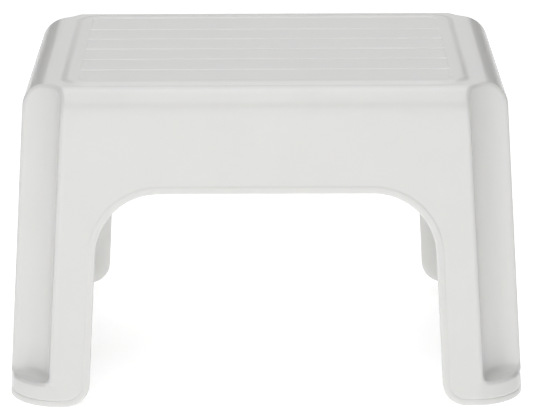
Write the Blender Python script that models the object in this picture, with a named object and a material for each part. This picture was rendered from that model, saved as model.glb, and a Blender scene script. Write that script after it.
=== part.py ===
"""Step stool: one moulded shell with four fluted corner legs, standing on four rubber foot pads.

Metres, +Z up. The origin is on the floor under the middle of the stool, X runs along its width
and -Y is its front. The shell is worked out from its outer faces: four panels that flare outwards
as they go down, a flat top, and the same body drawn again further in for the hollow.
"""

import math

import bmesh
import bpy

# Driving dimensions of the outer faces. A panel's plane meets the top's plane at TOP_HALF_*.
TOP_Z = 0.2325
TOP_HALF_X = 0.1733
TOP_HALF_Y = 0.1326
FLARE_X = 0.0619
FLARE_Y = 0.0576
SHOULDER = 0.0175
WALL = 0.0028
RIM_Z = 0.0008

# Corners: a quarter-round foot, and a concave flute that rises from the shelf above it.
FOOT_RADIUS = 0.0369
FLUTE_RADIUS = 0.0295
SHELF_Z = 0.018

# Arches between the legs. A leg's inner edge slants, and its toe is rounded.
ARCH_TOP_Z = 0.1585
ARCH_HALF_X = 0.1196
ARCH_HALF_Y = 0.0780
ARCH_SLANT = 0.0566
ARCH_RADIUS = 0.046
TOE_RADIUS = 0.018

# Tread: a raised panel with a shallow field, crossed by low ribs counted from its front border.
TREAD_HALF_X = 0.146
TREAD_HALF_Y = 0.1114
TREAD_CORNER = 0.020
TREAD_RAISE = 0.0012
TREAD_SLOPE = 0.0028
BORDER = 0.011
FIELD_CORNER = 0.009
FIELD_DEPTH = 0.0006
RIB_PITCH = 0.0322
RIB_COUNT = 5
RIB_WIDTH = 0.0024
RIB_HEIGHT = 0.0005

# Stiffening ribs under the top.
WEB = 0.0021
WEB_LOW_Z = 0.213
WEB_LINES_X = 4
WEB_STEP_X = 0.068
WEB_LINES_Y = 2
WEB_STEP_Y = 0.084

# Sockets for the foot pads, held by two fins inside each leg.
PAD_INSET = 0.031
SOCKET_RADIUS = 0.0078
BORE_RADIUS = 0.0045
SOCKET_LOW_Z = 0.0033
SOCKET_HIGH_Z = 0.040
PAD_RADIUS = 0.013
PAD_THICKNESS = 0.003
STEM_RADIUS = 0.0042
STEM_HIGH_Z = 0.015

# How far a cutter or a joined solid runs past the face that it has to cross.
PAST = 0.020
BITE = 0.0004
HAIR = 0.00005
REACH = 0.250

CORNERS = {
    "front_left": (-1, -1),
    "front_right": (1, -1),
    "back_left": (-1, 1),
    "back_right": (1, 1),
}


def clear_scene():
    for obj in list(bpy.data.objects):
        bpy.data.objects.remove(obj, do_unlink=True)


def plain_material(name, color, roughness):
    material = bpy.data.materials.new(name)
    material.use_nodes = True
    material.diffuse_color = (*color, 1.0)
    shader = material.node_tree.nodes["Principled BSDF"]
    shader.inputs["Base Color"].default_value = (*color, 1.0)
    shader.inputs["Roughness"].default_value = roughness
    shader.inputs["Metallic"].default_value = 0.0
    return material


def new_object(name, bm, material=None):
    """Closes the bmesh into an object. Without a material it is a helper, which isn't rendered."""
    bmesh.ops.recalc_face_normals(bm, faces=bm.faces)
    mesh = bpy.data.meshes.new(name)
    bm.to_mesh(mesh)
    bm.free()
    obj = bpy.data.objects.new(name, mesh)
    bpy.context.scene.collection.objects.link(obj)
    if material:
        mesh.materials.append(material)
    else:
        obj.hide_render = True
        obj.display_type = "WIRE"
    return obj


def combine(target, operation, other):
    modifier = target.modifiers.new(f"{operation.lower()} {other.name}", "BOOLEAN")
    modifier.operation = operation
    modifier.solver = "EXACT"
    modifier.object = other
    return target


def add_prism(bm, low_points, high_points):
    """A closed solid between two outlines of the same number of points."""
    low = [bm.verts.new(point) for point in low_points]
    high = [bm.verts.new(point) for point in high_points]
    bm.faces.new(low)
    bm.faces.new(high)
    for index in range(len(low)):
        bm.faces.new((low[index - 1], low[index], high[index], high[index - 1]))


def add_upright(bm, outline, low_z, high_z):
    add_prism(bm, [(x, y, low_z) for x, y in outline], [(x, y, high_z) for x, y in outline])


def arc(centre, radius, start, end, steps):
    """Points from the start angle to the end angle, both in radians and both included."""
    angles = [start + (end - start) * step / steps for step in range(steps + 1)]
    return [(centre[0] + radius * math.cos(a), centre[1] + radius * math.sin(a)) for a in angles]


def rectangle(half_x, half_y, centre=(0.0, 0.0)):
    x, y = centre
    return [(x - half_x, y - half_y), (x + half_x, y - half_y),
            (x + half_x, y + half_y), (x - half_x, y + half_y)]


def rounded_rectangle(half_x, half_y, radius, steps=6):
    points = []
    for quarter, (sx, sy) in enumerate(((1, 1), (-1, 1), (-1, -1), (1, -1))):
        centre = (sx * (half_x - radius), sy * (half_y - radius))
        start = quarter * math.pi / 2
        points += arc(centre, radius, start, start + math.pi / 2, steps)
    return points


# The body: two prisms with rounded shoulders, crossed, with their corners rounded and fluted.

def panel_profile(half, flare, inset, low_z):
    """Half the stool's outline across one pair of panels, drawn in by inset, then mirrored."""
    tilt = math.atan(flare)
    foot = half + (TOP_Z - low_z) * flare - inset / math.cos(tilt)
    centre = (half + SHOULDER * flare - SHOULDER / math.cos(tilt), TOP_Z - SHOULDER)
    right = [(foot, low_z)] + arc(centre, SHOULDER - inset, tilt, math.pi / 2, 8)
    return right + [(-u, z) for u, z in reversed(right)]


def corner_at(z):
    """Where the planes of two neighbouring panels meet, at this height."""
    return TOP_HALF_X + (TOP_Z - z) * FLARE_X, TOP_HALF_Y + (TOP_Z - z) * FLARE_Y


def corner_solids(name, outline, low_z, high_z):
    """The outline, given as distances in from the two panels, in all four corners."""
    bm = bmesh.new()
    for sx, sy in CORNERS.values():
        ends = []
        for z in (low_z, high_z):
            x, y = corner_at(z)
            ends.append([(sx * (x - a), sy * (y - b), z) for a, b in outline])
        add_prism(bm, *ends)
    return new_object(name, bm)


def rounding_cutters(name, inset):
    centre = (FOOT_RADIUS, FOOT_RADIUS)
    bow = arc(centre, FOOT_RADIUS - inset + HAIR, math.pi, 1.5 * math.pi, 9)
    outline = bow + [(FOOT_RADIUS, -PAST), (-PAST, -PAST), (-PAST, FOOT_RADIUS)]
    return corner_solids(name, outline, -PAST, TOP_Z + PAST)


def flute_cutters(name, inset):
    radius = FLUTE_RADIUS + inset
    overrun = math.radians(6)
    bow = arc((0, 0), radius, -overrun, math.pi / 2 + overrun, 13)
    outline = bow + [(-PAST, radius), (-PAST, -PAST), (radius, -PAST)]
    return corner_solids(name, outline, SHELF_Z - inset, TOP_Z + PAST)


def body(name, inset, low_z, material=None):
    """The stool's whole body as one solid, with every face drawn in by inset."""
    across = panel_profile(TOP_HALF_X, FLARE_X, inset, low_z)
    along = panel_profile(TOP_HALF_Y, FLARE_Y, inset, low_z)
    bm = bmesh.new()
    add_prism(bm, [(x, -REACH, z) for x, z in across], [(x, REACH, z) for x, z in across])
    solid = new_object(name, bm, material)
    bm = bmesh.new()
    add_prism(bm, [(-REACH, y, z) for y, z in along], [(REACH, y, z) for y, z in along])
    combine(solid, "INTERSECT", new_object(f"{name}_front_and_back", bm))
    combine(solid, "DIFFERENCE", rounding_cutters(f"{name}_rounding", inset))
    combine(solid, "DIFFERENCE", flute_cutters(f"{name}_flutes", inset))
    return solid


# The arches.

def arch_profile(half):
    """The opening between two legs, from its round top corners down past the rounded toes."""
    slant = math.atan(ARCH_SLANT)

    def leg_edge(z):
        return half + (ARCH_TOP_Z - z) * ARCH_SLANT

    top_z = ARCH_TOP_Z - ARCH_RADIUS
    top = (leg_edge(top_z) - ARCH_RADIUS / math.cos(slant), top_z)
    toe_z = RIM_Z + TOE_RADIUS
    toe = (leg_edge(toe_z) + TOE_RADIUS / math.cos(slant), toe_z)
    right = arc(top, ARCH_RADIUS, math.pi / 2, slant, 10)
    right += arc(toe, TOE_RADIUS, math.pi + slant, 1.5 * math.pi - math.radians(4), 6)
    right.append((toe[0], -PAST))
    return right + [(-u, z) for u, z in reversed(right)]


def arch_cutters():
    bm = bmesh.new()
    outline = arch_profile(ARCH_HALF_X)
    add_prism(bm, [(u, -REACH, z) for u, z in outline], [(u, REACH, z) for u, z in outline])
    front_and_back = new_object("arch_front_and_back", bm)
    bm = bmesh.new()
    outline = arch_profile(ARCH_HALF_Y)
    add_prism(bm, [(-REACH, u, z) for u, z in outline], [(REACH, u, z) for u, z in outline])
    return front_and_back, new_object("arch_sides", bm)


# What stiffens the shell from inside. Each set is trimmed to the middle of the wall.

def spread(count, step):
    return [(index - (count - 1) / 2) * step for index in range(count)]


def webs_under_top():
    lengthwise, crosswise = bmesh.new(), bmesh.new()
    for y in spread(WEB_LINES_Y, WEB_STEP_Y):
        add_upright(lengthwise, rectangle(REACH, WEB / 2, (0, y)), WEB_LOW_Z, TOP_Z)
    for x in spread(WEB_LINES_X, WEB_STEP_X):
        add_upright(crosswise, rectangle(WEB / 2, REACH, (x, 0)), WEB_LOW_Z, TOP_Z)
    return new_object("webs_lengthwise", lengthwise), new_object("webs_crosswise", crosswise)


def pad_centre(sx, sy):
    x, y = corner_at(0)
    return sx * (x - PAD_INSET), sy * (y - PAD_INSET)


def socket_parts():
    """The fins that reach the two panels, the sockets that they hold, and the sockets' bores."""
    to_side, to_front, tubes, bores = (bmesh.new() for _ in range(4))
    half = PAD_INSET
    for sx, sy in CORNERS.values():
        x, y = pad_centre(sx, sy)
        fin = rectangle(half / 2, WEB / 2, (x + sx * half / 2, y))
        add_upright(to_side, fin, SOCKET_LOW_Z, SOCKET_HIGH_Z)
        fin = rectangle(WEB / 2, half / 2, (x, y + sy * half / 2))
        add_upright(to_front, fin, SOCKET_LOW_Z, SOCKET_HIGH_Z)
        ring = arc((x, y), SOCKET_RADIUS, 0, 2 * math.pi * 19 / 20, 19)
        add_upright(tubes, ring, SOCKET_LOW_Z, SOCKET_HIGH_Z + BITE)
        ring = arc((x, y), BORE_RADIUS, 0, 2 * math.pi * 15 / 16, 15)
        add_upright(bores, ring, SOCKET_LOW_Z - PAST, SOCKET_HIGH_Z + PAST)
    names = ("fins_to_side", "fins_to_front", "sockets", "socket_bores")
    return [new_object(name, bm) for name, bm in zip(names, (to_side, to_front, tubes, bores))]


# The tread.

def tread_parts():
    slab, pocket, ribs = bmesh.new(), bmesh.new(), bmesh.new()
    tread_z = TOP_Z + TREAD_RAISE
    field_z = tread_z - FIELD_DEPTH
    foot = rounded_rectangle(TREAD_HALF_X, TREAD_HALF_Y, TREAD_CORNER)
    crown = rounded_rectangle(TREAD_HALF_X - TREAD_SLOPE, TREAD_HALF_Y - TREAD_SLOPE,
                              TREAD_CORNER - TREAD_SLOPE)
    add_prism(slab, [(x, y, TOP_Z - BITE) for x, y in foot], [(x, y, tread_z) for x, y in crown])
    field = rounded_rectangle(TREAD_HALF_X - BORDER, TREAD_HALF_Y - BORDER, FIELD_CORNER)
    add_upright(pocket, field, field_z, tread_z + PAST)
    front_border = BORDER - TREAD_HALF_Y
    for index in range(1, RIB_COUNT + 1):
        bar = rectangle(TREAD_HALF_X - BORDER + BITE, RIB_WIDTH / 2,
                        (0, front_border + index * RIB_PITCH))
        add_upright(ribs, bar, field_z - BITE, field_z + RIB_HEIGHT)
    names = ("tread_slab", "tread_field", "tread_ribs")
    return [new_object(name, bm) for name, bm in zip(names, (slab, pocket, ribs))]


def make_shell(material):
    shell = body("stool_shell", 0.0, RIM_Z, material)
    combine(shell, "DIFFERENCE", body("hollow", WALL, -PAST))
    mid_wall = body("mid_wall", WALL / 2, -PAST)
    *fins_and_tubes, bores = socket_parts()
    for stiffener in (*webs_under_top(), *fins_and_tubes):
        combine(stiffener, "INTERSECT", mid_wall)
        combine(shell, "UNION", stiffener)
    combine(shell, "DIFFERENCE", bores)
    for arch in arch_cutters():
        combine(shell, "DIFFERENCE", arch)
    slab, field, ribs = tread_parts()
    combine(shell, "UNION", slab)
    combine(shell, "DIFFERENCE", field)
    combine(shell, "UNION", ribs)
    return shell


def make_foot_pads(material):
    """Turned rubber pads: a disc that stands on the floor and a stem pressed into the socket."""
    edge = PAD_THICKNESS / 3
    profile = [
        (0, 0), (PAD_RADIUS - edge, 0), (PAD_RADIUS, edge), (PAD_RADIUS, PAD_THICKNESS),
        (STEM_RADIUS, PAD_THICKNESS), (STEM_RADIUS, STEM_HIGH_Z - edge),
        (STEM_RADIUS - edge, STEM_HIGH_Z), (0, STEM_HIGH_Z),
    ]
    bm = bmesh.new()
    verts = [bm.verts.new((r, 0, z)) for r, z in profile]
    edges = [bm.edges.new(pair) for pair in zip(verts, verts[1:])]
    bmesh.ops.spin(bm, geom=verts + edges, cent=(0, 0, 0), axis=(0, 0, 1),
                   angle=2 * math.pi, steps=24, use_merge=True)
    bmesh.ops.remove_doubles(bm, verts=bm.verts, dist=HAIR)
    bmesh.ops.recalc_face_normals(bm, faces=bm.faces)
    mesh = bpy.data.meshes.new("foot_pad")
    bm.to_mesh(mesh)
    bm.free()
    mesh.materials.append(material)
    mesh.shade_smooth()
    mesh.set_sharp_from_angle(angle=math.radians(40))
    for corner, (sx, sy) in CORNERS.items():
        pad = bpy.data.objects.new(f"foot_pad_{corner}", mesh)
        pad.location = (*pad_centre(sx, sy), 0)
        bpy.context.scene.collection.objects.link(pad)


def main():
    clear_scene()
    make_shell(plain_material("white_polypropylene", (0.80, 0.80, 0.79), 0.35))
    make_foot_pads(plain_material("grey_rubber", (0.18, 0.18, 0.18), 0.85))


main()
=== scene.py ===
"""Looks of the one-piece moulded step stool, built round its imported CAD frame.

Metres, +Z up. X runs along the width and -Y is the front. The stool is the same in all four
quarters, so its skin is worked out in one quarter and mirrored into the others.
"""

import enum
import logging
import math
from collections.abc import Sequence
from dataclasses import dataclass, field, replace

import bpy
import numpy as np
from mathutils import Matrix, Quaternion, Vector
from mathutils.geometry import tessellate_polygon


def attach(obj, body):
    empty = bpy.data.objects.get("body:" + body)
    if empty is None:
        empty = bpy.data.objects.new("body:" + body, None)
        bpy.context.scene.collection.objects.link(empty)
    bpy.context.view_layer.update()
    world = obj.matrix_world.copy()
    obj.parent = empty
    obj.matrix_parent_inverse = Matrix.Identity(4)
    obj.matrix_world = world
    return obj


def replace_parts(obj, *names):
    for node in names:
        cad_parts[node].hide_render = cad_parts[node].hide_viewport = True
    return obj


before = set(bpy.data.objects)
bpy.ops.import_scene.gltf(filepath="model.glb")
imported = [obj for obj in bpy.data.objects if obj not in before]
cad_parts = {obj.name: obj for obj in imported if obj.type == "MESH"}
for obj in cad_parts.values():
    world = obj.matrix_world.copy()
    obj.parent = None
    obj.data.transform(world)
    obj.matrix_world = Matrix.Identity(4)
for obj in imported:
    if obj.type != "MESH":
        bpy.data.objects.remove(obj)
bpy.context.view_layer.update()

LOG = logging.getLogger("step_stool")
MM = 0.001
WHITE = (1.0, 1.0, 1.0, 1.0)
JOIN_CELL = 4e-6
SHARP_ANGLE = math.radians(35)
TINY = 1e-12

Point = tuple[float, float, float]


# Meshes.


@dataclass
class SkinSheet:
    """Collects points with their normals and the faces between them, then makes one mesh."""

    points: list[np.ndarray] = field(default_factory=list)
    normals: list[np.ndarray] = field(default_factory=list)
    faces: list[tuple[int, ...]] = field(default_factory=list)
    count: int = 0

    def add(self, points: np.ndarray, normals: np.ndarray) -> np.ndarray:
        """Adds points of any grid shape.

        Args:
            points: array of points, its last axis being x, y and z.
            normals: the outward directions at those points, in the same shape.

        Returns:
            The new points' numbers, in the grid's shape.
        """
        flat = points.reshape(-1, 3)
        lengths = np.linalg.norm(normals.reshape(-1, 3), axis=1, keepdims=True)
        numbers = np.arange(self.count, self.count + len(flat)).reshape(points.shape[:-1])
        self.points.append(flat)
        self.normals.append(normals.reshape(-1, 3) / np.maximum(lengths, TINY))
        self.count += len(flat)
        return numbers

    def quads(self, grid: np.ndarray) -> None:
        """Joins a two-way grid of point numbers with four-sided faces."""
        for low, high in zip(grid[:-1], grid[1:]):
            for a, b, c, d in zip(low[:-1], low[1:], high[1:], high[:-1]):
                self.faces.append((int(a), int(b), int(c), int(d)))

    def polygon(self, ring: Sequence[int]) -> None:
        """Fills a flat outline, given as point numbers, with triangles."""
        table = np.concatenate(self.points)
        corners = [Vector(table[number]) for number in ring]
        for triangle in tessellate_polygon([corners]):
            self.faces.append(tuple(int(ring[corner]) for corner in triangle))

    def arrays(self) -> tuple[np.ndarray, np.ndarray]:
        """Returns the points and the normals as two tables."""
        return np.concatenate(self.points), np.concatenate(self.normals)

    def turned_outwards(self) -> list[tuple[int, ...]]:
        """Returns the faces, each turned to look the way of its points' normals."""
        points, normals = self.arrays()
        turned = []
        for face in self.faces:
            corners, ways = points[list(face)], normals[list(face)].sum(0)
            across = np.cross(corners[2] - corners[0], corners[-1] - corners[1])
            if len(face) == 3:
                across = np.cross(corners[1] - corners[0], corners[2] - corners[0])
            turned.append(face if across @ ways >= 0 else face[::-1])
        return turned

    def mirrored(self) -> "SkinSheet":
        """Returns the sheet repeated in all four quarters."""
        whole = SkinSheet()
        points, normals = self.arrays()
        faces = self.turned_outwards()
        for sx, sy in ((1, 1), (-1, 1), (-1, -1), (1, -1)):
            flip = np.array((sx, sy, 1.0))
            start = whole.count
            whole.add(points * flip, normals * flip)
            for face in faces:
                moved = tuple(number + start for number in face)
                whole.faces.append(moved if sx * sy > 0 else moved[::-1])
        return whole


def mesh_object(
    name: str, sheet: SkinSheet, material: bpy.types.Material, smooth: bool = True
) -> bpy.types.Object:
    """Makes an object from a sheet, with doubled points joined.

    Args:
        name: the piece's name.
        sheet: its points, normals and faces.
        material: the finish of the whole piece.
        smooth: whether the sheet's places and normals are kept. If not, the faces are flat and
            the points sit on the joining grid.

    Returns:
        The new object, at the origin.
    """
    points, normals = sheet.arrays()
    cells = np.round(points / JOIN_CELL).astype(np.int64)
    cells, first, joined = np.unique(cells, axis=0, return_index=True, return_inverse=True)
    joined = joined.reshape(-1)
    faces = []
    for face in sheet.faces:
        ring: list[int] = []
        for number in face:
            if not ring or joined[number] != ring[-1]:
                ring.append(int(joined[number]))
        if len(ring) > 1 and ring[0] == ring[-1]:
            ring.pop()
        if len(ring) > 2 and len(set(ring)) == len(ring):
            faces.append(ring)
    mesh = bpy.data.meshes.new(name)
    mesh.from_pydata((points[first] if smooth else cells * JOIN_CELL).tolist(), [], faces)
    mesh.materials.append(material)
    if smooth:
        mesh.shade_smooth()
        mesh.normals_split_custom_set_from_vertices(normals[first].tolist())
    obj = bpy.data.objects.new(name, mesh)
    bpy.context.scene.collection.objects.link(obj)
    return obj


def lathe_sheet(
    profile: Sequence[tuple[float, float]], centre: tuple[float, float], steps: int
) -> SkinSheet:
    """Turns a profile round an upright axis.

    Args:
        profile: (radius, z) points, going so that the outside is on their right.
        centre: x and y of the axis.
        steps: faces round the axis.

    Returns:
        A sheet whose faces look outwards.
    """
    sheet = SkinSheet()
    outline = np.array(profile, float)
    ways = profile_normals(outline)
    angles = np.linspace(0.0, 2.0 * math.pi, steps + 1)
    around = np.stack((np.cos(angles), np.sin(angles)), 1)
    points = np.empty((steps + 1, len(outline), 3))
    normals = np.empty_like(points)
    points[..., :2] = around[:, None, :] * outline[None, :, :1] + np.array(centre)
    points[..., 2] = outline[:, 1]
    normals[..., :2] = around[:, None, :] * ways[None, :, :1]
    normals[..., 2] = ways[:, 1]
    sheet.quads(sheet.add(points, normals))
    sheet.faces = sheet.turned_outwards()
    return sheet


def profile_normals(outline: np.ndarray) -> np.ndarray:
    """Directions that stand square to a profile, on the right of its way along.

    Args:
        outline: the profile's points, two numbers each.

    Returns:
        One unit direction for each point, halfway between those of its two neighbours.
    """
    ways = np.diff(outline, axis=0)
    ways /= np.maximum(np.linalg.norm(ways, axis=1, keepdims=True), TINY)
    mean = np.vstack((ways[:1], ways[:-1] + ways[1:], ways[-1:]))
    mean /= np.maximum(np.linalg.norm(mean, axis=1, keepdims=True), TINY)
    return np.stack((mean[:, 1], -mean[:, 0]), 1)


def flat_sided(faces_of_points: Sequence[Sequence[Point]]) -> SkinSheet:
    """A sheet of flat faces that share no points, so each keeps its own normal."""
    sheet = SkinSheet()
    for corners in faces_of_points:
        points = np.array(corners, float)
        normal = np.cross(points[1] - points[0], points[2] - points[1])
        numbers = sheet.add(points, np.tile(normal, (len(points), 1)))
        sheet.faces.append(tuple(int(number) for number in numbers))
    return sheet


# The stool's form.


def round_max(first: np.ndarray, second: np.ndarray, radius: float | np.ndarray) -> np.ndarray:
    """Where two solids meet, both given as signed distances, with their common edge rounded."""
    beyond = np.hypot(np.maximum(first + radius, 0.0), np.maximum(second + radius, 0.0))
    return np.minimum(np.maximum(first, second), -radius) + beyond


def eased(share: float | np.ndarray) -> float | np.ndarray:
    """Turns an even climb from 0 to 1 into one that starts and ends level."""
    return share * share * (3.0 - 2.0 * share)


@dataclass(frozen=True)
class StoolForm:
    """Sizes of the outer form, and the signed distance from it, for one quarter of the stool."""

    top_z: float = 0.2325
    half_x: float = 0.1733
    half_y: float = 0.1326
    flare_x: float = 0.0619
    flare_y: float = 0.0576
    shoulder: float = 0.0175
    wall: float = 0.0028
    rim_z: float = 0.0008
    foot_radius: float = 0.0369
    flute_radius: float = 0.0295
    shelf_z: float = 0.018
    shelf_fillet: float = 0.0055
    edge_radius: float = 0.0029
    foot_blend: float = 0.006
    foot_blend_drop: float = 0.001
    least_rounding: float = 1e-6
    settle_rounds: int = 9
    least_steepness: float = 0.05

    def corner(self, z: np.ndarray) -> tuple[np.ndarray, np.ndarray]:
        """Returns x and y of the line where two neighbouring panels would meet."""
        drop = self.top_z - z
        return self.half_x + drop * self.flare_x, self.half_y + drop * self.flare_y

    def distance(self, points: np.ndarray) -> np.ndarray:
        """Signed distance of points from the outer skin, negative inside the form.

        Args:
            points: a table of points.

        Returns:
            One distance for each point.
        """
        x, y, z = np.abs(points[:, 0]), np.abs(points[:, 1]), points[:, 2]
        corner_x, corner_y = self.corner(z)
        side = (x - corner_x) * math.cos(math.atan(self.flare_x))
        front = (y - corner_y) * math.cos(math.atan(self.flare_y))
        top = z - self.top_z
        share = np.clip((z - self.shelf_z + self.foot_blend_drop) / self.foot_blend, 0.0, 1.0)
        rounding = self.foot_radius * (1.0 - eased(share)) + self.least_rounding
        body = np.maximum(round_max(side, top, self.shoulder), round_max(front, top, self.shoulder))
        body = np.maximum(body, round_max(side, front, rounding))
        flute = np.hypot(x - corner_x, y - corner_y) - self.flute_radius
        cut = round_max(flute, self.shelf_z - z, self.shelf_fillet)
        return round_max(body, -cut, self.edge_radius)

    def slope(self, points: np.ndarray) -> np.ndarray:
        """Returns the direction in which the distance grows at each point, with its steepness."""
        step = 1e-6
        ways = []
        for move in np.eye(3) * step:
            rise = self.distance(points + move) - self.distance(points - move)
            ways.append(rise / (2.0 * step))
        return np.stack(ways, 1)

    def settle(self, points: np.ndarray) -> tuple[np.ndarray, np.ndarray]:
        """Moves points that are near the skin onto it.

        Args:
            points: array of points, its last axis being x, y and z.

        Returns:
            The moved points and the outward directions there, in the same shape.
        """
        flat = points.reshape(-1, 3).copy()
        for _ in range(self.settle_rounds):
            slope = self.slope(flat)
            steep = np.maximum((slope * slope).sum(1), self.least_steepness)
            flat -= slope * (self.distance(flat) / steep)[:, None]
        slope = self.slope(flat)
        slope /= np.maximum(np.linalg.norm(slope, axis=1, keepdims=True), TINY)
        return flat.reshape(points.shape), slope.reshape(points.shape)


class Panel(enum.Enum):
    """The two kinds of side panel in a quarter: (axis along it, axis through it)."""

    FRONT = (0, 1)
    SIDE = (1, 0)


@dataclass(frozen=True)
class ArchForm:
    """Sizes of the openings between the legs and of the band that runs round their edges."""

    top_z: float = 0.1585
    half_front: float = 0.1196
    half_side: float = 0.0780
    slant: float = 0.0566
    radius: float = 0.046
    toe_radius: float = 0.018
    band_width: float = 0.0064
    band_fade_low: float = 0.008
    band_fade_high: float = 0.022

    def outline(self, half: float, rim_z: float, end: float) -> tuple[np.ndarray, np.ndarray]:
        """The free edge from the middle of the arch down to the foot.

        Args:
            half: half the opening's width, at the arch's height, were its corners sharp.
            rim_z: height of the foot's lowest edge.
            end: where along the panel the corner takes over from it.

        Returns:
            (along, z) of the edge's points, and its direction there.
        """
        slant = math.atan(self.slant)
        points, ways = [(0.0, self.top_z)], [(1.0, 0.0)]
        low_z = self.top_z - self.radius
        leg = half + self.radius * self.slant
        centre = (leg - self.radius / math.cos(slant), low_z)
        for angle in np.linspace(math.pi / 2, slant, 19):
            across, up = math.cos(angle), math.sin(angle)
            points.append((centre[0] + self.radius * across, centre[1] + self.radius * up))
            ways.append((up, -across))
        toe_z = rim_z + self.toe_radius
        toe = half + (self.top_z - toe_z) * self.slant + self.toe_radius / math.cos(slant)
        for angle in np.linspace(math.pi + slant, 1.5 * math.pi, 17):
            across, up = math.cos(angle), math.sin(angle)
            points.append((toe + self.toe_radius * across, toe_z + self.toe_radius * up))
            ways.append((-up, across))
        points.append((end, rim_z))
        ways.append((1.0, 0.0))
        return np.array(points), np.array(ways)

    def section(self, wall: float) -> np.ndarray:
        """The band's section, from the panel round the free edge to the inner skin.

        Args:
            wall: thickness of the moulding.

        Returns:
            Rows of distance in from the edge, height, height that fades, and the groove that
            replaces it.
        """
        mm = [
            (6.4, 0.0, 0.0, 0.0), (5.9, 0.0, 0.0, 0.0), (5.6, 0.0, 0.04, -0.12),
            (5.3, 0.0, 0.16, -0.3), (5.0, 0.0, 0.32, -0.34), (4.7, 0.0, 0.43, -0.2),
            (4.4, 0.0, 0.49, -0.06), (4.0, 0.0, 0.5, 0.0),
        ]
        rounding = 1.3
        for angle in np.linspace(0.0, math.pi / 2, 7):
            inwards, down = rounding * (1 - math.sin(angle)), rounding * (1 - math.cos(angle))
            mm.append((inwards, -down, 0.5, 0.0))
        rows = [tuple(value * MM for value in row) for row in mm]
        rows.append((0.0, 0.0006 - wall, 0.0, 0.0))
        rows.append((0.0002, 0.0002 - wall, 0.0, 0.0))
        rows.append((0.0006, -wall, 0.0, 0.0))
        rows.append((self.band_width, -wall, 0.0, 0.0))
        return np.array(rows)


@dataclass(frozen=True)
class TreadForm:
    """Sizes of the raised tread, its border, and the low ribs across its field."""

    half_x: float = 0.146
    half_y: float = 0.1114
    corner: float = 0.020
    rise: float = 0.0012
    border: float = 0.011
    field_depth: float = 0.0006
    rib_pitch: float = 0.0322
    rib_count: int = 5
    rib_width: float = 0.0040
    rib_depth: float = 0.0019
    rib_height: float = 0.0006
    slope_out: float = 0.0023
    slope_width: float = 0.0078
    step_width: float = 0.0022

    def section(self) -> np.ndarray:
        """Returns (distance out from the outline, height above the top), from the outside in."""
        rows = []
        for share in np.linspace(0.0, 1.0, 13):
            rows.append((self.slope_out - self.slope_width * share, self.rise * eased(share)))
        for share in np.linspace(0.0, 1.0, 9):
            drop = self.field_depth * eased(share)
            rows.append((-self.border - self.step_width * share, self.rise - drop))
        return np.array(rows)

    def field_z(self, top_z: float) -> float:
        """Returns the height of the field in a tread that is raised above the given top."""
        return top_z + self.rise - self.field_depth

    def outline(self, out: float) -> tuple[np.ndarray, np.ndarray]:
        """A quarter of the tread's outline, moved outwards.

        Args:
            out: how far the outline is moved.

        Returns:
            The outline's (x, y) points from the x axis to the y axis, and their outward directions.
        """
        radius = self.corner + out
        centre = np.array((self.half_x - self.corner, self.half_y - self.corner))
        angles = np.linspace(0.0, math.pi / 2, 17)
        ways = np.stack((np.cos(angles), np.sin(angles)), 1)
        ways = np.vstack(((1.0, 0.0), ways, (0.0, 1.0)))
        points = centre + radius * ways
        points[0, 1] = points[-1, 0] = 0.0
        return points, ways


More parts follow.
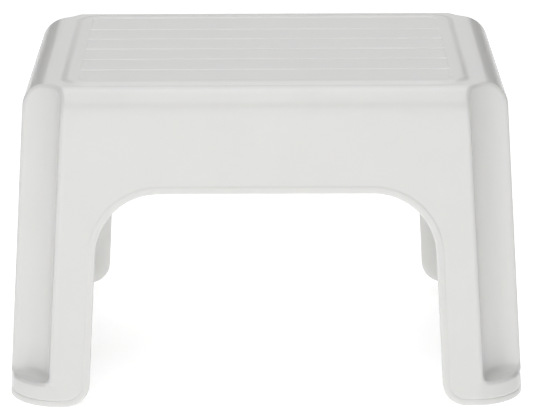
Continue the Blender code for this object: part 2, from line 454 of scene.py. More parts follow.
@dataclass
class MouldedShell:
    """The whole one-piece moulding: top, shoulders, panels, fluted corners, feet and rims."""

    form: StoolForm
    arch: ArchForm
    tread: TreadForm
    corner_end: float = 0.039
    plate_inset: float = 0.0185
    plate_arc: float = 0.0365
    fine_reach: float = 0.0036
    fine_gap: float = 0.0006
    coarse_gap: float = 0.0016
    flute_drops_mm: tuple[float, ...] = (0.3, 0.7, 1.2, 1.8, 2.5, 3.4, 5.0, 8.0)
    shelf_clear: float = 0.010

    def blend_columns(self) -> tuple[np.ndarray, np.ndarray, np.ndarray]:
        """Three lines round the corner, as distances in from the side and from the front panel.

        Returns:
            The line on the top plate, the flute's line and the foot's line, one row per column.
        """
        end, flute, foot = self.corner_end, self.form.flute_radius, self.form.foot_radius
        straight, bow = end - flute, flute * math.pi / 2
        half = np.concatenate((
            np.linspace(0.0, straight - self.fine_reach, 4),
            np.linspace(straight - self.fine_reach + self.fine_gap, straight + self.fine_reach, 14),
            np.linspace(straight + self.fine_reach + self.coarse_gap, straight + bow / 2, 10),
        ))
        total = 2 * straight + bow
        share = np.concatenate((half, total - half[-2::-1])) / total
        return (
            self.bow_line(share, end, self.plate_inset, self.plate_arc),
            self.bow_line(share, end, 0.0, flute),
            self.foot_line(share, end, foot),
        )

    @staticmethod
    def bow_line(share: np.ndarray, end: float, inset: float, radius: float) -> np.ndarray:
        """A line along one panel, round the corner in a hollow bow, and along the other.

        Args:
            share: how far along the line each point is, from 0 to 1.
            end: distance from the corner where the line starts and stops.
            inset: distance in from each panel on its straight lengths.
            radius: the bow's radius round the corner.

        Returns:
            (in from the side, in from the front) of each point.
        """
        turn = math.asin(inset / radius)
        straight = end - radius * math.cos(turn)
        bow = radius * (math.pi / 2 - 2 * turn)
        along = share * (2 * straight + bow)
        angle = turn + np.clip((along - straight) / radius, 0.0, math.pi / 2 - 2 * turn)
        line = radius * np.stack((np.cos(angle), np.sin(angle)), 1)
        line[:, 0] += np.maximum(straight - along, 0.0)
        line[:, 1] += np.maximum(along - straight - bow, 0.0)
        return line

    @staticmethod
    def foot_line(share: np.ndarray, end: float, radius: float) -> np.ndarray:
        """A line along one panel, round the foot's outer bow, and along the other."""
        straight, bow = end - radius, radius * math.pi / 2
        along = share * (2 * straight + bow)
        angle = np.clip((along - straight) / radius, 0.0, math.pi / 2)
        line = radius * (1.0 - np.stack((np.sin(angle), np.cos(angle)), 1))
        line[:, 0] += np.maximum(straight - along, 0.0)
        line[:, 1] += np.maximum(along - straight - bow, 0.0)
        return line

    def place(self, line: np.ndarray, z: np.ndarray) -> np.ndarray:
        """Turns distances in from the two panels, at a height, into points."""
        corner_x, corner_y = self.form.corner(z)
        return np.stack((corner_x - line[..., 0], corner_y - line[..., 1], z), -1)

    def corner_grid(self) -> tuple[np.ndarray, np.ndarray, int]:
        """The corner's skin, from the top plate down the flute and over the shelf to the foot.

        Returns:
            Points and normals, a row per level and a column per place round the corner, and the
            number of the level where the shoulder ends.
        """
        form = self.form
        plate, flute, foot = self.blend_columns()
        over = np.linspace(0.0, math.pi / 2, 17)[1:]
        inset = np.concatenate(([self.plate_inset], form.shoulder * (1.0 - np.sin(over))))
        shares = (self.plate_inset - inset) / self.plate_inset
        levels = []
        for share in shares:
            line = plate + (flute - plate) * share
            near = np.clip(form.shoulder - line.min(1), 0.0, form.shoulder)
            z = form.top_z - form.shoulder + np.sqrt(form.shoulder**2 - near**2)
            levels.append(self.place(line, z))
        shoulder_end = len(levels) - 1
        high, low = levels[-1][:, 2], form.shelf_z + self.shelf_clear
        drops = np.array(self.flute_drops_mm) * MM
        levels += [self.place(flute, high - drop) for drop in drops]
        for share in np.linspace(0.0, 1.0, 7)[1:]:
            levels.append(self.place(flute, (high - drops[-1]) * (1 - share) + low * share))
        across = np.linalg.norm(foot - flute, axis=1)
        fall_high, band_z = low - form.shelf_z, form.rim_z + self.arch.band_width
        fall_low = form.shelf_z - band_z
        total = fall_high + across + fall_low
        for share in np.linspace(0.0, 1.0, 31)[1:]:
            run = share * total
            z = form.shelf_z + np.maximum(fall_high - run, 0.0)
            z = z - np.maximum(run - fall_high - across, 0.0)
            blend = np.clip((run - fall_high) / np.maximum(across, 1e-9), 0.0, 1.0)[:, None]
            levels.append(self.place(flute + (foot - flute) * blend, z))
        points, normals = form.settle(np.array(levels))
        return points, normals, shoulder_end

    def free_edge(self, panel: Panel) -> tuple[np.ndarray, np.ndarray, np.ndarray]:
        """The free edge along half of one panel.

        Args:
            panel: which of the two panels.

        Returns:
            Points, outward directions of the panel, and directions in from the edge.
        """
        form, arch = self.form, self.arch
        along, through = panel.value
        flare = (form.flare_x, form.flare_y)[through]
        tilt = math.atan(flare)
        half = arch.half_front if panel is Panel.FRONT else arch.half_side
        end = form.corner(np.array(form.rim_z))[along] - self.corner_end
        outline, ways = arch.outline(half, form.rim_z, float(end))
        points = np.zeros((len(outline), 3))
        points[:, along] = outline[:, 0]
        points[:, through] = form.corner(outline[:, 1])[through]
        points[:, 2] = outline[:, 1]
        out = np.zeros(3)
        out[through], out[2] = math.cos(tilt), math.sin(tilt)
        up = np.zeros(3)
        up[through], up[2] = -math.sin(tilt), math.cos(tilt)
        flat = ways / np.array((1.0, math.cos(tilt)))
        flat /= np.linalg.norm(flat, axis=1, keepdims=True)
        inwards = np.outer(flat[:, 0], up)
        inwards[:, along] -= flat[:, 1]
        return points, np.tile(out, (len(points), 1)), inwards

    def band_grid(
        self, last: np.ndarray, last_normals: np.ndarray
    ) -> tuple[np.ndarray, np.ndarray, list[int]]:
        """The band round the whole free edge of a quarter, from the front arch to the side arch.

        Args:
            last: the corner grid's lowest level.
            last_normals: the normals of that level.

        Returns:
            Points and normals, a row per place along the edge, and how many rows belong to the
            front panel and to the corner.
        """
        form = self.form
        front, side = self.free_edge(Panel.FRONT), self.free_edge(Panel.SIDE)
        foot_line = self.blend_columns()[2]
        low = self.place(foot_line, np.full(len(foot_line), form.rim_z))
        arch = self.arch
        low = last + (low - last) * (arch.band_width / np.linalg.norm(low - last, axis=1))[:, None]
        inwards = (last - low) / np.linalg.norm(last - low, axis=1, keepdims=True)
        edge, out, inside = (
            np.concatenate((before[:-1], corner, after[-2::-1]))
            for before, corner, after in zip(front, (low, last_normals, inwards), side)
        )
        rise = (edge[:, 2] - arch.band_fade_low) / (arch.band_fade_high - arch.band_fade_low)
        fade = np.clip(rise, 0.0, 1.0)[:, None]
        section = arch.section(form.wall)
        height = section[:, 1] + section[:, 2] * fade + section[:, 3] * (1.0 - fade)
        points = edge[:, None] + inside[:, None] * section[None, :, :1]
        points = points + out[:, None] * height[..., None]
        normals = np.empty_like(points)
        for row in range(len(edge)):
            ways = profile_normals(np.stack((-section[:, 0], height[row]), 1))
            normals[row] = -np.outer(ways[:, 1], out[row]) + np.outer(ways[:, 0], inside[row])
        normals[:, 0], normals[:, -1] = out, -out
        return points, normals, [len(front[0]) - 1, len(foot_line)]

    def quarter(self) -> SkinSheet:
        """Returns a quarter of the whole skin, outside and inside."""
        sheet = SkinSheet()
        form = self.form
        grid, ways, shoulder_end = self.corner_grid()
        band, band_ways, (front_rows, corner_rows) = self.band_grid(grid[-1], ways[-1])
        band_numbers = sheet.add(band, band_ways)
        sheet.quads(band_numbers)
        for depth in (0.0, form.wall):
            turn = -1.0 if depth else 1.0
            edge_row = band_numbers[:, -1 if depth else 0]
            skin = sheet.add(grid - ways * depth, ways * turn)
            skin[-1] = edge_row[front_rows:front_rows + corner_rows]
            sheet.quads(skin)
            plate_ring = []
            ends = (
                (Panel.FRONT, 0, edge_row[:front_rows + 1]),
                (Panel.SIDE, -1, edge_row[front_rows + corner_rows - 1:][::-1]),
            )
            for panel, column, span in ends:
                axis = panel.value[0]
                way = ways[:shoulder_end + 1, column]
                middle = grid[:shoulder_end + 1, column] - way * depth
                middle[:, axis] = 0.0
                middle_numbers = sheet.add(middle, way * turn)
                sheet.quads(np.stack((middle_numbers, skin[:shoulder_end + 1, column])))
                side_line = map(int, skin[shoulder_end:, column])
                sheet.polygon([int(middle_numbers[-1]), *side_line, *map(int, span[::-1][1:])])
                plate_ring.append(int(middle_numbers[0]))
            ring = [plate_ring[0], *map(int, skin[0]), plate_ring[1]]
            self.fill_plate(sheet, ring, bool(depth))
        return sheet

    def fill_plate(self, sheet: SkinSheet, ring: list[int], inside: bool) -> None:
        """Fills the flat top, round the raised tread on the outside and right across on the inside.

        Args:
            sheet: the sheet that it is added to.
            ring: numbers of the points from the middle of the front to the middle of the side.
            inside: whether this is the inner skin.
        """
        form = self.form
        up = np.array((0.0, 0.0, 1.0))
        if inside:
            middle = sheet.add(np.array([[0.0, 0.0, form.top_z - form.wall]]), -up[None])
            sheet.polygon([*ring, int(middle[0])])
            return
        section = self.tread.section()
        ways = profile_normals(section * (-1.0, 1.0))
        ways[[0, -1]] = (0.0, -1.0)
        rows, normals = [], []
        for (out, height), way in zip(section, ways):
            outline, outwards = self.tread.outline(out)
            rows.append(np.column_stack((outline, np.full(len(outline), form.top_z + height))))
            normals.append(np.column_stack((outwards * way[0], np.full(len(outline), -way[1]))))
        tread = sheet.add(np.array(rows), np.array(normals))
        sheet.quads(tread)
        sheet.polygon([*ring, *map(int, tread[0])])
        middle = sheet.add(np.array([[0.0, 0.0, rows[-1][0][2]]]), up[None])
        sheet.polygon([*map(int, tread[-1]), int(middle[0])])

    def build(self, material: bpy.types.Material) -> bpy.types.Object:
        """Returns the shell as one mesh, standing for the CAD shell."""
        shell = mesh_object("shell_moulding", self.quarter().mirrored(), material)
        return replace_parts(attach(shell, "root"), "stool_shell")


# Geometry Nodes for what repeats.


@dataclass
class RuledTree:
    """A Geometry Nodes tree with named inputs, ending in real geometry with one material."""

    name: str
    sizes: dict[str, float | int | Point]
    material: bpy.types.Material
    tree: bpy.types.NodeTree = field(init=False)
    entry: bpy.types.Node = field(init=False)

    def __post_init__(self) -> None:
        """Makes the tree with its input and output sockets."""
        self.tree = bpy.data.node_groups.new(self.name, "GeometryNodeTree")
        kinds = {int: "NodeSocketInt", float: "NodeSocketFloat", tuple: "NodeSocketVector"}
        sockets = self.tree.interface
        for label, value in self.sizes.items():
            sockets.new_socket(label, in_out="INPUT", socket_type=kinds[type(value)])
        sockets.new_socket("Geometry", in_out="OUTPUT", socket_type="NodeSocketGeometry")
        self.entry = self.tree.nodes.new("NodeGroupInput")

    def size(self, label: str) -> bpy.types.NodeSocket:
        """Returns the socket of one named input."""
        return self.entry.outputs[label]

    def node(self, kind: str, **inputs: object) -> bpy.types.Node:
        """Adds a node.

        Args:
            kind: the node's type name.
            inputs: a socket or a value for each input. A space in a name is written _, and an
                input that goes by its number is written n and the number.

        Returns:
            The new node.
        """
        node = self.tree.nodes.new(kind)
        for label, value in inputs.items():
            numbered = label[0] == "n" and label[1:].isdigit()
            key = int(label[1:]) if numbered else label.replace("_", " ")
            if isinstance(value, bpy.types.NodeSocket):
                self.tree.links.new(value, node.inputs[key])
            else:
                node.inputs[key].default_value = value
        return node

    def add(self, kind: str, **inputs: object) -> bpy.types.NodeSocket:
        """Adds a node as above and returns its first output."""
        return self.node(kind, **inputs).outputs[0]

    def maths(self, operation: str, first: object, second: object = 0.0) -> bpy.types.NodeSocket:
        """Returns the result of a Math node."""
        node = self.node("ShaderNodeMath", n0=first, n1=second)
        node.operation = operation
        return node.outputs[0]

    def vector(self, x: object = 0.0, y: object = 0.0, z: object = 0.0) -> bpy.types.NodeSocket:
        """Returns a vector made of three sockets or values."""
        return self.add("ShaderNodeCombineXYZ", X=x, Y=y, Z=z)

    def repeated(
        self, shape: bpy.types.NodeSocket, start: bpy.types.NodeSocket, step: bpy.types.NodeSocket
    ) -> bpy.types.NodeSocket:
        """Returns copies of a shape on a line, as many as the input Count says."""
        line = self.add("GeometryNodeMeshLine", Count=self.size("Count"), Start_Location=start, Offset=step)
        return self.add("GeometryNodeInstanceOnPoints", Points=line, Instance=shape)

    def close(self, geometry: bpy.types.NodeSocket) -> None:
        """Ends the tree in Realize Instances, Set Material and the output."""
        real = self.add("GeometryNodeRealizeInstances", Geometry=geometry)
        done = self.add("GeometryNodeSetMaterial", Geometry=real, Material=self.material)
        self.node("NodeGroupOutput", Geometry=done)

    def make(self, name: str) -> bpy.types.Object:
        """Evaluates the tree into a plain mesh.

        Args:
            name: the piece's name.

        Returns:
            The piece, with no modifier left on it.
        """
        holder = bpy.data.objects.new(name, bpy.data.meshes.new(name))
        bpy.context.scene.collection.objects.link(holder)
        modifier = holder.modifiers.new(self.name, "NODES")
        modifier.node_group = self.tree
        for item in self.tree.interface.items_tree:
            if item.in_out == "INPUT":
                modifier[item.identifier] = self.sizes[item.name]
        graph = bpy.context.evaluated_depsgraph_get()
        mesh = bpy.data.meshes.new_from_object(holder.evaluated_get(graph), depsgraph=graph)
        holder.modifiers.clear()
        holder.data = mesh
        mesh.name = name
        if not mesh.materials:
            mesh.materials.append(self.material)
        mesh.shade_smooth()
        mesh.set_sharp_from_angle(angle=SHARP_ANGLE)
        return holder


@dataclass
class TreadRibs:
    """The low ribs that cross the tread's field, the tops of flat ovals sunk in it."""

    form: StoolForm
    tread: TreadForm
    overlap: float = 0.0003

    def build(self, material: bpy.types.Material) -> bpy.types.Object:
        """Returns the ribs as one mesh."""
        tread = self.tread
        reach = tread.half_x - tread.border + self.overlap
        low_z = tread.field_z(self.form.top_z) + tread.rib_height - tread.rib_depth / 2
        sizes = {
            "Left End": (-reach, 0.0, 0.0),
            "Right End": (reach, 0.0, 0.0),
            "Width": tread.rib_width,
            "Depth": tread.rib_depth,
            "Count": tread.rib_count,
            "Start": (0.0, tread.border - tread.half_y + tread.rib_pitch, low_z),
            "Step": (0.0, tread.rib_pitch, 0.0),
        }
        rule = RuledTree("tread_ribs_rule", sizes, material)
        left, right = rule.size("Left End"), rule.size("Right End")
        bar = rule.add("GeometryNodeCurvePrimitiveLine", Start=left, End=right)
        ring = rule.add("GeometryNodeCurvePrimitiveCircle", Resolution=48, Radius=0.5)
        scale = rule.vector(rule.size("Width"), rule.size("Depth"), 1.0)
        oval = rule.add("GeometryNodeTransform", Geometry=ring, Scale=scale)
        swept = rule.add("GeometryNodeCurveToMesh", Curve=bar, Profile_Curve=oval, Fill_Caps=True)
        rule.close(rule.repeated(swept, rule.size("Start"), rule.size("Step")))
        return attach(rule.make("tread_ribs"), "root")


class WebRun(enum.Enum):
    """Which way a set of webs runs under the top: its name and its quarter turn."""

    CROSSWISE = ("webs_crosswise", 0.0)
    LENGTHWISE = ("webs_lengthwise", math.pi / 2)


@dataclass
class TopWebs:
    """The upright webs that stiffen the top from below, their ends lost in the panels."""

    form: StoolForm
    thickness: float = 0.0021
    low_z: float = 0.213
    crosswise_count: int = 4
    crosswise_step: float = 0.068
    lengthwise_count: int = 2
    lengthwise_step: float = 0.084

    def build(self, run: WebRun, material: bpy.types.Material) -> bpy.types.Object:
        """One set of parallel webs.

        Args:
            run: which set.
            material: their finish.

        Returns:
            The set as one mesh.
        """
        form = self.form
        name, turn = run.value
        if run is WebRun.CROSSWISE:
            half, flare = form.half_y, form.flare_y
            count, step = self.crosswise_count, self.crosswise_step
        else:
            half, flare = form.half_x, form.flare_x
            count, step = self.lengthwise_count, self.lengthwise_step
        middle = form.wall / 2
        high_z = form.top_z - middle
        sizes = {
            "Thickness": self.thickness,
            "Height": high_z - self.low_z,
            "Middle Height": (high_z + self.low_z) / 2,
            "Bend Centre": half + form.shoulder * flare - form.shoulder / math.cos(math.atan(flare)),
            "Bend Radius": form.shoulder - middle,
            "Bend Start": form.top_z - form.shoulder,
            "Turn": (0.0, 0.0, turn),
            "Count": count,
            "First": -(count - 1) / 2 * step,
            "Step": step,
        }
        rule = RuledTree(f"{name}_rule", sizes, material)
        size = rule.vector(rule.size("Thickness"), 1.0, rule.size("Height"))
        block = rule.add("GeometryNodeMeshCube", Size=size, Vertices_X=2, Vertices_Y=2, Vertices_Z=13)
        place = rule.node("ShaderNodeSeparateXYZ", Vector=rule.add("GeometryNodeInputPosition")).outputs
        z = rule.maths("ADD", place["Z"], rule.size("Middle Height"))
        above = rule.maths("MAXIMUM", rule.maths("SUBTRACT", z, rule.size("Bend Start")), 0.0)
        radius = rule.maths("POWER", rule.size("Bend Radius"), 2.0)
        square = rule.maths("SUBTRACT", radius, rule.maths("POWER", above, 2.0))
        bend = rule.maths("SQRT", rule.maths("MAXIMUM", square, 0.0))
        reach = rule.maths("ADD", bend, rule.size("Bend Centre"))
        y = rule.maths("MULTIPLY", rule.maths("SIGN", place["Y"]), reach)
        moved = rule.vector(place["X"], y, z)
        shaped = rule.add("GeometryNodeSetPosition", Geometry=block, Position=moved)
        copies = rule.repeated(shaped, rule.vector(rule.size("First")), rule.vector(rule.size("Step")))
        rule.close(rule.add("GeometryNodeTransform", Geometry=copies, Rotation=rule.size("Turn")))
        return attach(rule.make(name), "root")


# Small moulded details and the pads.


@dataclass
class GateMark:
    """The plain round mark that the mould's gate leaves in the middle of the field."""

    form: StoolForm
    tread: TreadForm
    centre: tuple[float, float] = (0.0, -0.0038)
    radius: float = 0.0076

    def build(self, material: bpy.types.Material) -> bpy.types.Object:
        """Returns the mark as one mesh."""
        z = self.tread.field_z(self.form.top_z)
        mm = (
            (0.0, -0.3), (0.2, 0.0), (0.5, 0.18), (1.0, 0.32),
            (1.5, 0.35), (2.1, 0.3), (2.8, 0.2), (3.4, 0.2),
        )
        profile = [(self.radius - inwards * MM, z + up * MM) for inwards, up in mm]
        profile.append((0.0, profile[-1][1]))
        mark = mesh_object("gate_mark", lathe_sheet(profile, self.centre, 48), material)
        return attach(mark, "root")


@dataclass
class PadSockets:
    """The tubes that take the pads' stems, and the two fins that hold each tube."""

    form: StoolForm
    inset: float = 0.031
    radius: float = 0.0078
    bore: float = 0.0045
    soft: float = 0.0005
    fin: float = 0.0021
    fin_bite: float = 0.0006
    low_z: float = 0.0033
    high_z: float = 0.040

    def centre(self) -> tuple[float, float]:
        """Returns x and y of a tube's axis in the first quarter."""
        corner_x, corner_y = self.form.corner(np.array(0.0))
        return float(corner_x) - self.inset, float(corner_y) - self.inset

    def tube(self) -> SkinSheet:
        """Returns one tube, open at both ends, with soft edges."""
        low, high, out, bore, soft = self.low_z, self.high_z, self.radius, self.bore, self.soft
        nick = soft * 0.3
        profile = [
            (bore, high - soft), (bore, low + soft), (bore + nick, low + nick), (bore + soft, low),
            (out - soft, low), (out - nick, low + nick), (out, low + soft),
            (out, high - soft), (out - nick, high - nick), (out - soft, high),
            (bore + soft, high), (bore + nick, high - nick), (bore, high - soft),
        ]
        return lathe_sheet(profile, self.centre(), 40)

    def fin_sheet(self, panel: Panel) -> SkinSheet:
        """One fin, from the tube to a panel.

        Args:
            panel: the panel that it reaches.

        Returns:
            The fin as a closed block whose outer end is lost in the wall.
        """
        form, centre = self.form, self.centre()
        along, through = panel.value
        flare = (form.flare_x, form.flare_y)[through]
        half = self.fin / 2

        def reach(z: float, fluted: bool) -> float:
            """How far out the middle of the wall is at a height, at the panel or at the flute."""
            corner = [float(value) for value in form.corner(np.array(z))]
            near = corner[along] - centre[along] - half
            if fluted:
                return corner[through] - math.sqrt((form.flute_radius + form.wall / 2) ** 2 - near**2)
            bow = form.foot_radius - math.sqrt(form.foot_radius**2 - (form.foot_radius - near) ** 2)
            return corner[through] - bow - form.wall / 2 / math.cos(math.atan(flare))

        start = centre[through] + self.bore + self.fin_bite
        shelf = form.shelf_z - form.wall / 2
        profile = [
            (start, self.low_z), (reach(self.low_z, False), self.low_z), (reach(shelf, False), shelf),
            (reach(shelf, True), shelf), (reach(self.high_z, True), self.high_z), (start, self.high_z),
        ]

        def lay(offset: float) -> list[Point]:
            """The fin's outline, moved to one of its faces."""
            laid = []
            for out, z in profile:
                point = [0.0, 0.0, z]
                point[along], point[through] = centre[along] + offset, out
                laid.append((point[0], point[1], point[2]))
            return laid

        near, far = lay(-half), lay(half)
        sides = [near[::-1], far]
        for index in range(len(near)):
            sides.append([near[index - 1], near[index], far[index], far[index - 1]])
        sheet = flat_sided(sides)
        points, normals = sheet.arrays()
        middle = points.mean(0)
        for face in sheet.faces:
            numbers = list(face)
            if (points[numbers].mean(0) - middle) @ normals[numbers[0]] < 0:
                normals[numbers] *= -1.0
        sheet.normals = [normals]
        sheet.faces = sheet.turned_outwards()
        return sheet

    def build(self, material: bpy.types.Material) -> list[bpy.types.Object]:
        """Returns the tubes and the fins, a mesh of each for all four feet."""
        fins = SkinSheet()
        for panel in Panel:
            part = self.fin_sheet(panel)
            start = fins.count
            fins.add(*part.arrays())
            fins.faces += [tuple(number + start for number in face) for face in part.faces]
        made = [
            mesh_object("pad_tubes", self.tube().mirrored(), material),
            mesh_object("pad_fins", fins.mirrored(), material, smooth=False),
        ]
        return [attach(piece, "root") for piece in made]


@dataclass
class FootPads:
    """The four turned rubber pads, each with ring grooves on its underside."""

    sockets: PadSockets
    radius: float = 0.013
    thickness: float = 0.003
    edge: float = 0.0009
    stem: float = 0.0042
    stem_z: float = 0.015
    groove: float = 0.0005
    rings: tuple[float, ...] = (0.0022, 0.0052, 0.0082)

    def profile(self) -> list[tuple[float, float]]:
        """Returns the pad's (radius, z) outline, from the middle of its sole to its stem's tip."""
        groove_mm = ((0.0, 0.5), (0.2, 0.1), (0.5, 0.0), (1.5, 0.0), (1.8, 0.1), (2.0, 0.5))
        rim_mm = ((1.6, 0.5), (1.4, 0.1), (1.2, 0.0))
        outline = [(0.0, self.groove)]
        for ring in self.rings:
            outline += [(ring + out * MM, up * MM) for out, up in groove_mm]
        outline += [(self.radius - inwards * MM, up * MM) for inwards, up in rim_mm]
        edge, top, stem, tip = self.edge, self.thickness, self.stem, self.stem_z
        for start, z in ((-math.pi / 2, edge), (0.0, top - edge)):
            for angle in np.linspace(start, start + math.pi / 2, 6):
                across, up = edge * math.cos(angle), edge * math.sin(angle)
                outline.append((self.radius - edge + across, z + up))
        neck_mm = ((0.8, 0.0), (0.2, 0.2), (0.0, 0.8))
        tip_mm = ((0.0, 1.0), (0.4, 0.3), (1.0, 0.0))
        outline += [(stem + out * MM, top + up * MM) for out, up in neck_mm]
        outline += [(stem - inwards * MM, tip - down * MM) for inwards, down in tip_mm]
        return [*outline, (0.0, tip)]

    def build(self, material: bpy.types.Material) -> list[bpy.types.Object]:
        """Returns the four pads, each standing for its CAD node."""
        x, y = self.sockets.centre()
        places = {"front_left": (-x, -y), "front_right": (x, -y), "back_left": (-x, y), "back_right": (x, y)}
        pads = []
        for name, centre in places.items():
            pad = mesh_object(f"pad_{name}", lathe_sheet(self.profile(), centre, 56), material)
            pads.append(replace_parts(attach(pad, "root"), f"foot_pad_{name}"))
        return pads


# Finishes.


def grain_group() -> bpy.types.NodeTree:
    """The fine grain that a mould leaves, as heights and as a mask of slightly duller patches.

    Returns:
        A shader node group with inputs for its sizes.
    """
    group = bpy.data.node_groups.new("mould_grain", "ShaderNodeTree")
    for label in ("Grain Scale", "Patch Scale"):
        group.interface.new_socket(label, in_out="INPUT", socket_type="NodeSocketFloat")
    group.interface.new_socket("Height", in_out="OUTPUT", socket_type="NodeSocketFloat")
    group.interface.new_socket("Patches", in_out="OUTPUT", socket_type="NodeSocketFloat")
    nodes, links = group.nodes, group.links
    entry, leave = nodes.new("NodeGroupInput"), nodes.new("NodeGroupOutput")
    place = nodes.new("ShaderNodeTexCoord")
    for label, target, detail in (("Grain Scale", "Height", 3.0), ("Patch Scale", "Patches", 2.0)):
        noise = nodes.new("ShaderNodeTexNoise")
        noise.inputs["Detail"].default_value = detail
        noise.inputs["Roughness"].default_value = 0.55
        links.new(place.outputs["Object"], noise.inputs["Vector"])
        links.new(entry.outputs[label], noise.inputs["Scale"])
        links.new(noise.outputs["Fac"], leave.inputs[target])
    return group


@dataclass(frozen=True)
class MouldedFinish:
    """A moulded material: two close colours, two close roughnesses and a fine grain."""

    name: str
    light: Point
    dark: Point
    roughness: tuple[float, float]
    grain_scale: float
    grain_depth: float
    patch_scale: float
    specular: float = 0.5
    soft: float = 0.0
    soft_spread: Point = (1.0, 0.95, 0.85)
    soft_depth: float = 0.004

    def build(self, grain: bpy.types.NodeTree) -> bpy.types.Material:
        """Makes the material.

        Args:
            grain: the shared grain group.

        Returns:
            The new material.
        """
        material = bpy.data.materials.new(self.name)
        material.use_nodes = True
        nodes, links = material.node_tree.nodes, material.node_tree.links
        shader = nodes["Principled BSDF"]
        shader.inputs["Specular IOR Level"].default_value = self.specular
        if self.soft:
            shader.inputs["Subsurface Weight"].default_value = self.soft
            shader.inputs["Subsurface Radius"].default_value = self.soft_spread
            shader.inputs["Subsurface Scale"].default_value = self.soft_depth
        pattern = nodes.new("ShaderNodeGroup")
        pattern.node_tree = grain
        pattern.inputs["Grain Scale"].default_value = self.grain_scale
        pattern.inputs["Patch Scale"].default_value = self.patch_scale
        tone = nodes.new("ShaderNodeMix")
        tone.data_type = "RGBA"
        tone.inputs["A"].default_value = (*self.light, 1.0)
        tone.inputs["B"].default_value = (*self.dark, 1.0)
        links.new(pattern.outputs["Patches"], tone.inputs["Factor"])
        links.new(tone.outputs["Result"], shader.inputs["Base Color"])
        gloss = nodes.new("ShaderNodeMapRange")
        gloss.inputs["To Min"].default_value, gloss.inputs["To Max"].default_value = self.roughness
        links.new(pattern.outputs["Patches"], gloss.inputs["Value"])
        links.new(gloss.outputs["Result"], shader.inputs["Roughness"])
        bump = nodes.new("ShaderNodeBump")
        bump.inputs["Strength"].default_value = 1.0
        bump.inputs["Distance"].default_value = self.grain_depth
        links.new(pattern.outputs["Height"], bump.inputs["Height"])
        links.new(bump.outputs["Normal"], shader.inputs["Normal"])
        return material


WHITE_PLASTIC = MouldedFinish(
    name="white_plastic", light=(0.80, 0.80, 0.79), dark=(0.78, 0.78, 0.77), roughness=(0.22, 0.26),
    grain_scale=2600.0, grain_depth=0.000012, patch_scale=34.0, soft=0.4,
)
WHITE_TRIM = replace(WHITE_PLASTIC, name="white_plastic_thin", soft=0.0)
GREY_RUBBER = MouldedFinish(
    name="grey_rubber", light=(0.32, 0.32, 0.32), dark=(0.27, 0.27, 0.27), roughness=(0.75, 0.9),
    grain_scale=1800.0, grain_depth=0.00004, patch_scale=120.0, specular=0.3,
)


# The studio.


@dataclass(frozen=True)
class SoftBox:
    """A soft light that looks at the stool."""

    name: str
    place: Point
    width: float
    height: float
    power: float
    aim: Point = (0.0, 0.0, 0.11)

    def build(self) -> None:
        """Hangs the light."""
        light = bpy.data.lights.new(self.name, "AREA")
        light.shape, light.size, light.size_y = "RECTANGLE", self.width, self.height
        light.energy = self.power
        holder = bpy.data.objects.new(self.name, light)
        holder.location = self.place
        sight = Vector(self.aim) - Vector(self.place)
        holder.rotation_euler = sight.to_track_quat("-Z", "Y").to_euler()
        bpy.context.scene.collection.objects.link(holder)


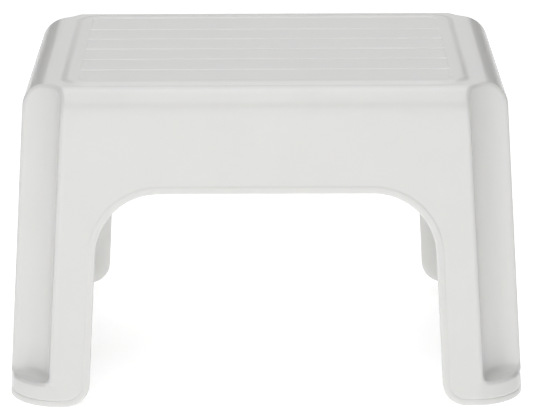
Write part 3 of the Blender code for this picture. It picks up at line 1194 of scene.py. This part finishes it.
@dataclass
class Studio:
    """Pale floor, soft lights and the camera."""

    floor_half: float = 6.0
    floor_color: Point = (0.92, 0.92, 0.92)
    floor_roughness: float = 0.9
    floor_glow: float = 0.58
    ambient: float = 0.1
    lens: float = 193.27
    sensor_width: float = 36.0
    clip: tuple[float, float] = (0.05, 50.0)
    camera_place: Point = (0.00068, -2.08908, 0.73256)
    camera_pitch: float = 0.29146
    camera_roll: float = 0.0039

    def floor(self) -> bpy.types.Object:
        """Returns the floor, a plain pale sheet."""
        mesh = bpy.data.meshes.new("floor")
        r = self.floor_half
        mesh.from_pydata([(-r, -r, 0), (r, -r, 0), (r, r, 0), (-r, r, 0)], [], [(0, 1, 2, 3)])
        material = bpy.data.materials.new("pale_floor")
        material.use_nodes = True
        shader = material.node_tree.nodes["Principled BSDF"]
        shader.inputs["Base Color"].default_value = (*self.floor_color, 1.0)
        shader.inputs["Roughness"].default_value = self.floor_roughness
        shader.inputs["Specular IOR Level"].default_value = 0.0
        shader.inputs["Emission Color"].default_value = WHITE
        shader.inputs["Emission Strength"].default_value = self.floor_glow
        mesh.materials.append(material)
        floor = bpy.data.objects.new("floor", mesh)
        bpy.context.scene.collection.objects.link(floor)
        return floor

    def world(self) -> None:
        """Makes the even surrounding light."""
        world = bpy.data.worlds.new("studio")
        world.use_nodes = True
        back = world.node_tree.nodes["Background"]
        back.inputs["Color"].default_value = WHITE
        back.inputs["Strength"].default_value = self.ambient
        bpy.context.scene.world = world

    def camera(self) -> None:
        """Places the camera."""
        data = bpy.data.cameras.new("camera")
        data.sensor_fit, data.sensor_width, data.lens = "HORIZONTAL", self.sensor_width, self.lens
        data.clip_start, data.clip_end = self.clip
        camera = bpy.data.objects.new("camera", data)
        camera.location = self.camera_place
        camera.rotation_mode = "XYZ"
        sight = Vector((0.0, math.cos(self.camera_pitch), -math.sin(self.camera_pitch)))
        turn = sight.to_track_quat("-Z", "Y")
        turn.rotate(Quaternion(sight, self.camera_roll))
        camera.rotation_euler = turn.to_euler()
        bpy.context.scene.collection.objects.link(camera)
        bpy.context.scene.camera = camera

    def build(self) -> None:
        """Sets the whole studio up."""
        self.floor()
        self.world()
        for box in (
            SoftBox("key", (-0.8, -2.8, 1.3), 2.6, 2.2, 25.0),
            SoftBox("overhead", (0.0, -0.1, 2.2), 0.9, 3.2, 26.0),
            SoftBox("fill", (0.9, -2.8, 0.8), 2.0, 1.2, 3.2),
            SoftBox("back", (0.0, 3.2, 1.2), 1.4, 1.9, 5.4),
            SoftBox("canopy", (0.0, 2.4, 2.6), 1.4, 2.2, 12.0),
        ):
            box.build()
        self.camera()
        bpy.context.scene.view_settings.view_transform = "Standard"


def report(pieces: Sequence[bpy.types.Object]) -> None:
    """Logs each finished piece with its number of faces."""
    for piece in pieces:
        LOG.info("%s: %d faces", piece.name, len(piece.data.polygons))


def main() -> None:
    """Builds the stool, dresses it, and sets the studio up round it."""
    logging.basicConfig(level=logging.INFO, format="%(name)s %(message)s")
    form, arch, tread = StoolForm(), ArchForm(), TreadForm()
    grain = grain_group()
    finishes = (WHITE_PLASTIC, WHITE_TRIM, GREY_RUBBER)
    plastic, trim, rubber = (finish.build(grain) for finish in finishes)
    sockets = PadSockets(form)
    webs = TopWebs(form)
    report([MouldedShell(form, arch, tread).build(plastic)])
    report([TreadRibs(form, tread).build(trim), GateMark(form, tread).build(trim)])
    report([webs.build(run, trim) for run in WebRun])
    report(sockets.build(trim))
    report(FootPads(sockets).build(rubber))
    Studio().build()


if __name__ == "__main__":
    main()
